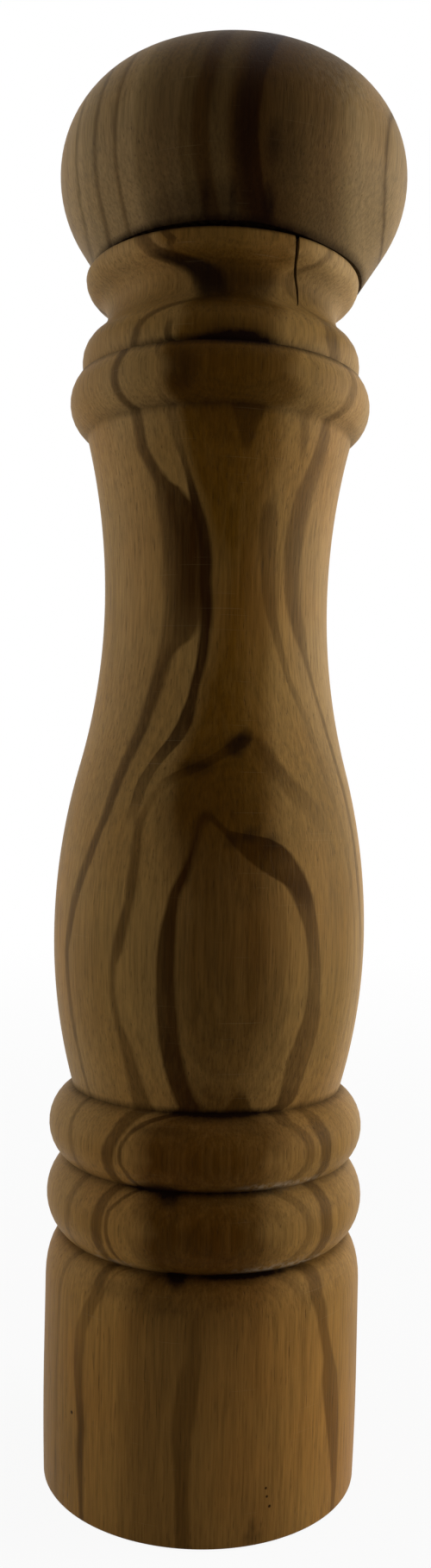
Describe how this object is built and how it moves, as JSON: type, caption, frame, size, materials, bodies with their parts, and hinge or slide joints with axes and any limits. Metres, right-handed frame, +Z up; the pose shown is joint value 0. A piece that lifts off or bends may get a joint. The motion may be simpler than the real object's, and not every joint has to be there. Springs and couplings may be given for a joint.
{
  "type": "pepper mill",
  "caption": "Turned wooden pepper mill: ball head, ringed collar, waisted body and beaded base, with a ceramic burr grinder on a hexagonal shaft and a coarseness knob underneath.",
  "frame": {"origin": "centre of the foot ring, on the plane the mill stands on, on the body's turning axis", "axes": "+Z up along the turning axis to the head, +Y away from the picture's camera, +X to its right"},
  "size_m": [0.0665, 0.0664, 0.2681],
  "materials": {
    "body_wood": "oiled, streaked olive-type wood",
    "head_wood": "oiled, streaked olive-type wood",
    "housing_plastic": "fine moulded texture",
    "knob_plastic": "satin moulded",
    "socket_plastic": "natural moulded",
    "spindle_plastic": "natural moulded",
    "burr_ceramic": "unglazed, fine-grained",
    "spring_steel": "drawn wire",
    "fastener_steel": "zinc plated",
    "shaft_aluminium": "drawn bar"
  },
  "bodies": {
    "mill_body": {"body": "body_wood", "grinder_housing": "housing_plastic", "housing_screws": "fastener_steel", "outer_burr": "burr_ceramic", "burr_retainer": "housing_plastic", "thrust_washer": "fastener_steel"},
    "rotor": {"drive_spindle": "spindle_plastic", "drive_shaft": "shaft_aluminium", "feed_auger": "spindle_plastic", "retaining_clip": "spring_steel", "burr_spring": "spring_steel", "stop_washer": "fastener_steel", "stop_screw": "fastener_steel"},
    "burr": {"inner_burr": "burr_ceramic", "burr_carrier": "spindle_plastic", "spring_seat": "fastener_steel"},
    "adjuster": {"adjusting_knob": "knob_plastic"},
    "head": {"head_knob": "head_wood", "head_socket": "socket_plastic", "socket_screws": "fastener_steel"}
  },
  "joints": [
    {"name": "head_turn", "type": "hinge", "parent": "mill_body", "child": "rotor", "pos_m": [0, 0, 0.0455], "axis": [0, 0, 1], "continuous": true},
    {"name": "burr_gap", "type": "slide", "parent": "rotor", "child": "burr", "axis": [0, 0, 1], "range_m": [-0.00075, 0.00075], "deforming": ["burr_spring"]},
    {"name": "adjuster_turn", "type": "hinge", "parent": "burr", "child": "adjuster", "pos_m": [0, 0, 0.0095], "axis": [0, 0, 1], "range_deg": [-180, 180]},
    {"name": "head_lift", "type": "slide", "parent": "rotor", "child": "head", "axis": [0, 0, 1], "range_m": [0, 0.06]}
  ],
  "couplings": [
    {"joint": "adjuster_turn", "follows": "burr_gap", "rad_per_m": 4188.8}
  ]
}
